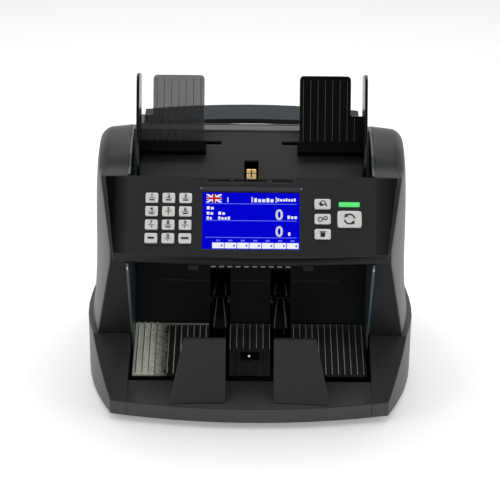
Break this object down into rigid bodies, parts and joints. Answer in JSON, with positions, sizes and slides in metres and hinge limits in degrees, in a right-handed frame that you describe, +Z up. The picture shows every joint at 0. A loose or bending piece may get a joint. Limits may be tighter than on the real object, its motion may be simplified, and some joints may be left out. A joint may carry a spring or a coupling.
{
  "type": "banknote counting machine",
  "caption": "Desktop banknote counter with a sloping keypad panel and screen, an inclined note hopper with sliding guides, stacker wheels in a front pocket and a folding carry handle.",
  "frame": {"origin": "centre of the overall box at the bottom of the feet", "axes": "+X to the machine's right as seen from the front, +Y to the rear, +Z up"},
  "size_m": [0.2898, 0.264, 0.2806],
  "materials": {
    "body_plastic": "moulded, semi-matte",
    "panel_plastic": "moulded, fine matte texture",
    "smoke_plastic": "clear smoke grey, glossy",
    "black_plastic": "smooth, semi-gloss",
    "tray_plastic": "ribbed, glossy",
    "key_plastic": "off-white, satin",
    "screen_glass": "lit colour display behind its window",
    "lamp_green": "lit lamp lens",
    "steel": "bright sheet and bar",
    "brass": "polished head",
    "rubber": "matte",
    "board_green": "printed board"
  },
  "bodies": {
    "body": {"base_tub": "body_plastic", "left_side_cover": "body_plastic", "right_side_cover": "body_plastic", "hopper_plate": "body_plastic", "rear_cover": "body_plastic", "control_panel": "panel_plastic", "left_stopper": "panel_plastic", "right_stopper": "panel_plastic", "pocket_sensor": "black_plastic", "inlet_socket": "black_plastic", "tray_left_plate": "tray_plastic", "tray_right_plate": "tray_plastic", "tray_centre_plate": "tray_plastic", "tray_back_plate": "tray_plastic", "exit_guide": "tray_plastic", "screen_window": "screen_glass", "status_lamp": "lamp_green", "left_frame": "steel", "right_frame": "steel", "display_module": "steel", "main_motor": "steel", "power_supply": "steel", "magnetic_head": "brass", "drive_belt": "rubber", "pickup_belt": "rubber", "front_left_foot": "rubber", "front_right_foot": "rubber", "rear_left_foot": "rubber", "rear_right_foot": "rubber", "keypad_board": "board_green", "main_board": "board_green"},
    "left_guide": {"left_guide": "smoke_plastic"},
    "right_guide": {"right_guide": "black_plastic"},
    "carry_handle": {"carry_handle": "smoke_plastic"},
    "power_switch": {"power_switch": "black_plastic"},
    "pickup": {"pickup_shaft": "steel", "pickup_roller_left": "rubber", "pickup_roller_right": "rubber"},
    "feed": {"feed_shaft": "steel", "feed_roller": "rubber"},
    "stacker": {"stacker_shaft": "steel", "stacker_wheel_left": "black_plastic", "stacker_wheel_right": "black_plastic"},
    "motor_pulley": {"motor_pulley": "steel"},
    "key_1": {"key_1": "key_plastic"},
    "key_2": {"key_2": "key_plastic"},
    "key_3": {"key_3": "key_plastic"},
    "key_4": {"key_4": "key_plastic"},
    "key_5": {"key_5": "key_plastic"},
    "key_6": {"key_6": "key_plastic"},
    "key_7": {"key_7": "key_plastic"},
    "key_8": {"key_8": "key_plastic"},
    "key_9": {"key_9": "key_plastic"},
    "key_left": {"key_left": "key_plastic"},
    "key_0": {"key_0": "key_plastic"},
    "key_right": {"key_right": "key_plastic"},
    "key_function_upper": {"key_function_upper": "key_plastic"},
    "key_function_middle": {"key_function_middle": "key_plastic"},
    "key_function_lower": {"key_function_lower": "key_plastic"},
    "key_start": {"key_start": "key_plastic"}
  },
  "joints": [
    {"name": "left_guide_slide", "type": "slide", "parent": "body", "child": "left_guide", "axis": [1, 0, 0], "range_m": [-0.004, 0.028]},
    {"name": "right_guide_slide", "type": "slide", "parent": "body", "child": "right_guide", "axis": [-1, 0, 0], "range_m": [-0.004, 0.028]},
    {"name": "handle_hinge", "type": "hinge", "parent": "body", "child": "carry_handle", "pos_m": [0, 0.014, 0.2125], "axis": [1, 0, 0], "range_deg": [0, 95]},
    {"name": "switch_rock", "type": "hinge", "parent": "body", "child": "power_switch", "pos_m": [0.028, 0.1266, 0.086], "axis": [1, 0, 0], "range_deg": [0, 14]},
    {"name": "key_1_press", "type": "slide", "parent": "body", "child": "key_1", "axis": [0, 0.7912, -0.6115], "range_m": [0, 0.0012], "stiffness_N_per_m": 600, "springref_m": -0.0005},
    {"name": "key_2_press", "type": "slide", "parent": "body", "child": "key_2", "axis": [0, 0.7912, -0.6115], "range_m": [0, 0.0012], "stiffness_N_per_m": 600, "springref_m": -0.0005},
    {"name": "key_3_press", "type": "slide", "parent": "body", "child": "key_3", "axis": [0, 0.7912, -0.6115], "range_m": [0, 0.0012], "stiffness_N_per_m": 600, "springref_m": -0.0005},
    {"name": "key_4_press", "type": "slide", "parent": "body", "child": "key_4", "axis": [0, 0.7912, -0.6115], "range_m": [0, 0.0012], "stiffness_N_per_m": 600, "springref_m": -0.0005},
    {"name": "key_5_press", "type": "slide", "parent": "body", "child": "key_5", "axis": [0, 0.7912, -0.6115], "range_m": [0, 0.0012], "stiffness_N_per_m": 600, "springref_m": -0.0005},
    {"name": "key_6_press", "type": "slide", "parent": "body", "child": "key_6", "axis": [0, 0.7912, -0.6115], "range_m": [0, 0.0012], "stiffness_N_per_m": 600, "springref_m": -0.0005},
    {"name": "key_7_press", "type": "slide", "parent": "body", "child": "key_7", "axis": [0, 0.7912, -0.6115], "range_m": [0, 0.0012], "stiffness_N_per_m": 600, "springref_m": -0.0005},
    {"name": "key_8_press", "type": "slide", "parent": "body", "child": "key_8", "axis": [0, 0.7912, -0.6115], "range_m": [0, 0.0012], "stiffness_N_per_m": 600, "springref_m": -0.0005},
    {"name": "key_9_press", "type": "slide", "parent": "body", "child": "key_9", "axis": [0, 0.7912, -0.6115], "range_m": [0, 0.0012], "stiffness_N_per_m": 600, "springref_m": -0.0005},
    {"name": "key_left_press", "type": "slide", "parent": "body", "child": "key_left", "axis": [0, 0.7912, -0.6115], "range_m": [0, 0.0012], "stiffness_N_per_m": 600, "springref_m": -0.0005},
    {"name": "key_0_press", "type": "slide", "parent": "body", "child": "key_0", "axis": [0, 0.7912, -0.6115], "range_m": [0, 0.0012], "stiffness_N_per_m": 600, "springref_m": -0.0005},
    {"name": "key_right_press", "type": "slide", "parent": "body", "child": "key_right", "axis": [0, 0.7912, -0.6115], "range_m": [0, 0.0012], "stiffness_N_per_m": 600, "springref_m": -0.0005},
    {"name": "key_function_upper_press", "type": "slide", "parent": "body", "child": "key_function_upper", "axis": [0, 0.7912, -0.6115], "range_m": [0, 0.0012], "stiffness_N_per_m": 600, "springref_m": -0.0005},
    {"name": "key_function_middle_press", "type": "slide", "parent": "body", "child": "key_function_middle", "axis": [0, 0.7912, -0.6115], "range_m": [0, 0.0012], "stiffness_N_per_m": 600, "springref_m": -0.0005},
    {"name": "key_function_lower_press", "type": "slide", "parent": "body", "child": "key_function_lower", "axis": [0, 0.7912, -0.6115], "range_m": [0, 0.0012], "stiffness_N_per_m": 600, "springref_m": -0.0005},
    {"name": "key_start_press", "type": "slide", "parent": "body", "child": "key_start", "axis": [0, 0.7912, -0.6115], "range_m": [0, 0.0012], "stiffness_N_per_m": 600, "springref_m": -0.0005},
    {"name": "feed_spin", "type": "hinge", "parent": "body", "child": "feed", "pos_m": [0, -0.048, 0.14], "axis": [1, 0, 0], "continuous": true},
    {"name": "pickup_spin", "type": "hinge", "parent": "body", "child": "pickup", "pos_m": [0, -0.04, 0.17], "axis": [1, 0, 0], "continuous": true},
    {"name": "stacker_spin", "type": "hinge", "parent": "body", "child": "stacker", "pos_m": [0, -0.008, 0.062], "axis": [1, 0, 0], "continuous": true},
    {"name": "motor_spin", "type": "hinge", "parent": "body", "child": "motor_pulley", "pos_m": [0, 0.078, 0.046], "axis": [1, 0, 0], "continuous": true}
  ],
  "couplings": [
    {"joint": "pickup_spin", "follows": "stacker_spin", "ratio": 1.25},
    {"joint": "feed_spin", "follows": "stacker_spin", "ratio": 1.25},
    {"joint": "motor_spin", "follows": "stacker_spin", "ratio": 2}
  ]
}
